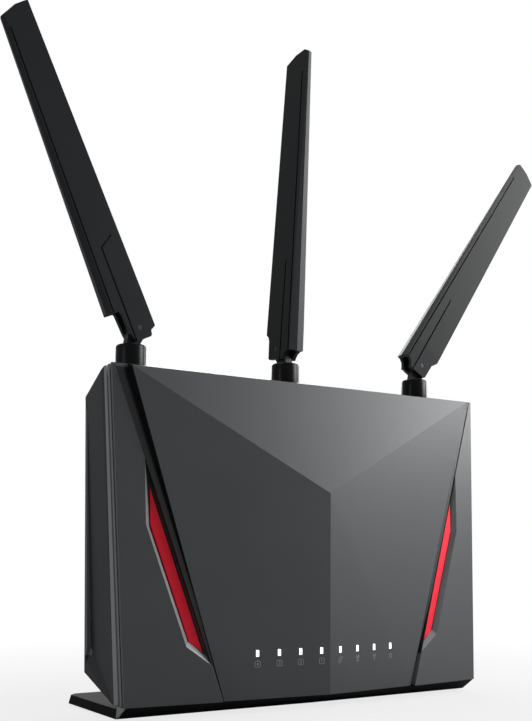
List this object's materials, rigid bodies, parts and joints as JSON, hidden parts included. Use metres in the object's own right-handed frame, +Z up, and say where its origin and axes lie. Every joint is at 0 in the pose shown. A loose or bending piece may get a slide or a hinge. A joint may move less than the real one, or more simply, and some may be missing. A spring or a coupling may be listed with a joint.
{
  "type": "wireless router",
  "caption": "Upright wireless router with a faceted front, red side accents, a flat foot and swivelling, tilting blade antennas over a rear port row.",
  "frame": {"origin": "centre of the base plate's underside", "axes": "+Z up, -Y towards the front panel and its lights, +X to the right as seen from the front"},
  "size_m": [0.3443, 0.0829, 0.3443],
  "materials": {
    "satin_panel": "satin dark grey moulding",
    "frame_trim": "satin mid grey moulding",
    "shell_plastic": "fine matt dark grey moulding",
    "red_insert": "brushed deep red",
    "gloss_black": "black, semi-gloss",
    "rubber": "matt",
    "blade_plastic": "satin dark grey moulding",
    "circuit": "green solder mask",
    "clear_guide": "frosted clear",
    "plated_steel": "bright plating",
    "blue_plastic": "blue moulding",
    "black_plastic": "matt black",
    "red_plastic": "matt red",
    "aluminium": "extruded, bare",
    "brass": "gold plated",
    "dark_steel": "blackened"
  },
  "bodies": {
    "chassis": {"front_panel": "satin_panel", "middle_frame": "frame_trim", "rear_shell": "shell_plastic", "accent_left": "red_insert", "accent_right": "red_insert", "base_stand": "gloss_black", "antenna_collar_left": "gloss_black", "antenna_collar_middle": "gloss_black", "antenna_collar_right": "gloss_black", "foot_1": "rubber", "foot_2": "rubber", "foot_3": "rubber", "foot_4": "rubber", "circuit_board": "circuit", "light_guide": "clear_guide", "lan_jack": "plated_steel", "usb3_port": "plated_steel", "usb2_port": "plated_steel", "shield_can_left": "plated_steel", "shield_can_right": "plated_steel", "wan_jack": "blue_plastic", "power_inlet": "black_plastic", "antenna_lead_left": "black_plastic", "antenna_lead_middle": "black_plastic", "antenna_lead_right": "black_plastic", "heat_sink": "aluminium", "antenna_jack_left": "brass", "antenna_jack_middle": "brass", "antenna_jack_right": "brass", "housing_screw_1": "dark_steel", "housing_screw_2": "dark_steel", "housing_screw_3": "dark_steel", "housing_screw_4": "dark_steel", "board_screw_1": "dark_steel", "board_screw_2": "dark_steel", "board_screw_3": "dark_steel", "board_screw_4": "dark_steel", "stand_screw_1": "dark_steel", "stand_screw_2": "dark_steel"},
    "stem_left": {"antenna_stem_left": "blade_plastic"},
    "blade_left": {"blade_front_left": "blade_plastic", "blade_back_left": "blade_plastic", "radiator_left": "circuit", "hinge_pin_left": "dark_steel"},
    "stem_middle": {"antenna_stem_middle": "blade_plastic"},
    "blade_middle": {"blade_front_middle": "blade_plastic", "blade_back_middle": "blade_plastic", "radiator_middle": "circuit", "hinge_pin_middle": "dark_steel"},
    "stem_right": {"antenna_stem_right": "blade_plastic"},
    "blade_right": {"blade_front_right": "blade_plastic", "blade_back_right": "blade_plastic", "radiator_right": "circuit", "hinge_pin_right": "dark_steel"},
    "power_button": {"power_button": "gloss_black"},
    "led_button": {"led_button": "gloss_black"},
    "wps_button": {"wps_button": "gloss_black"},
    "wifi_button": {"wifi_button": "gloss_black"},
    "reset_plunger": {"reset_plunger": "red_plastic"}
  },
  "joints": [
    {"name": "swivel_left", "type": "hinge", "parent": "chassis", "child": "stem_left", "pos_m": [-0.0897, -0.0102, 0.1715], "axis": [0, 0, 1], "range_deg": [-90, 90]},
    {"name": "tilt_left", "type": "hinge", "parent": "stem_left", "child": "blade_left", "pos_m": [-0.08697, -0.0101, 0.1832], "axis": [0.0349, -0.9994, 0], "range_deg": [-34.8, 65.2]},
    {"name": "swivel_middle", "type": "hinge", "parent": "chassis", "child": "stem_middle", "pos_m": [0, -0.0102, 0.1715], "axis": [0, 0, 1], "range_deg": [-178, 178]},
    {"name": "tilt_middle", "type": "hinge", "parent": "stem_middle", "child": "blade_middle", "pos_m": [-0.00028, -0.00749, 0.1832], "axis": [-0.9945, -0.1045, 0], "range_deg": [-4, 96]},
    {"name": "swivel_right", "type": "hinge", "parent": "chassis", "child": "stem_right", "pos_m": [0.0897, -0.0102, 0.1715], "axis": [0, 0, 1], "range_deg": [-90, 90]},
    {"name": "tilt_right", "type": "hinge", "parent": "stem_right", "child": "blade_right", "pos_m": [0.09243, -0.01034, 0.1832], "axis": [0.0523, 0.9986, 0], "range_deg": [-43, 57]},
    {"name": "power_button_press", "type": "slide", "parent": "chassis", "child": "power_button", "axis": [0, -1, 0], "range_m": [0, 0.0012], "stiffness_N_per_m": 400},
    {"name": "led_button_press", "type": "slide", "parent": "chassis", "child": "led_button", "axis": [0, -1, 0], "range_m": [0, 0.0012], "stiffness_N_per_m": 400},
    {"name": "wps_button_press", "type": "slide", "parent": "chassis", "child": "wps_button", "axis": [-1, 0, 0], "range_m": [0, 0.0007], "stiffness_N_per_m": 400},
    {"name": "wifi_button_press", "type": "slide", "parent": "chassis", "child": "wifi_button", "axis": [-1, 0, 0], "range_m": [0, 0.0007], "stiffness_N_per_m": 400},
    {"name": "reset_plunger_press", "type": "slide", "parent": "chassis", "child": "reset_plunger", "axis": [0, -1, 0], "range_m": [0, 0.0002], "stiffness_N_per_m": 400}
  ]
}
